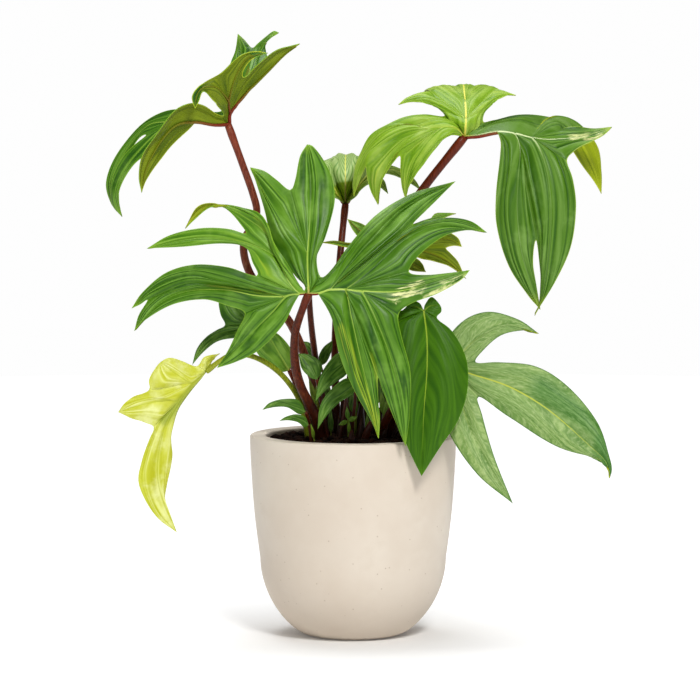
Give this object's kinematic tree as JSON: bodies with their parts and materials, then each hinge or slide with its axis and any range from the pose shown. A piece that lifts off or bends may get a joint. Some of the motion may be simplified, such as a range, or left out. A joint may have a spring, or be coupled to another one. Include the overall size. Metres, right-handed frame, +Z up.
{
  "type": "potted philodendron",
  "caption": "Potted climbing aroid with deeply fingered leaves, lime to dark green, on red-brown stalks in a round cream concrete pot.",
  "frame": {"origin": "middle of the pot's foot, on the surface that the pot stands on", "axes": "+Z up, -Y towards the front, where the large spread leaf is, +X to the right of someone who looks at the front"},
  "size_m": [0.4939, 0.2794, 0.586],
  "materials": {
    "pot": "matt, fine speckles and small pores",
    "soil": "matt, crumbly potting soil",
    "leaf": "satin, pleated, with pale ribs and margins",
    "leaf_pale": "satin, mottled sage with a green margin",
    "leaf_lime": "satin, lime with olive veins",
    "stalk": "satin, streaky red-brown",
    "stalk_green": "satin, yellow-green with red-brown streaks"
  },
  "bodies": {
    "root": {"pot": "pot", "soil": "soil", "blade_back": "leaf", "blade_back_right": "leaf", "blade_base_1": "leaf", "blade_base_2": "leaf", "blade_base_3": "leaf", "blade_base_4": "leaf", "blade_base_5": "leaf", "blade_front": "leaf", "blade_inner_left": "leaf", "blade_lime": "leaf_lime", "blade_low_1": "leaf", "blade_low_2": "leaf", "blade_pale": "leaf_pale", "blade_rear_left": "leaf", "blade_right": "leaf", "blade_upper_left": "leaf", "blade_upper_right": "leaf", "blade_young": "leaf", "stalk_back": "stalk", "stalk_back_right": "stalk", "stalk_base_1": "stalk", "stalk_base_2": "stalk", "stalk_base_3": "stalk", "stalk_base_4": "stalk", "stalk_base_5": "stalk", "stalk_front": "stalk", "stalk_inner_left": "stalk", "stalk_lime": "stalk_green", "stalk_low_1": "stalk", "stalk_low_2": "stalk", "stalk_pale": "stalk", "stalk_rear_left": "stalk", "stalk_right": "stalk", "stalk_stub_1": "stalk", "stalk_stub_2": "stalk", "stalk_upper_left": "stalk", "stalk_upper_right": "stalk", "stalk_young": "stalk"}
  },
  "joints": []
}
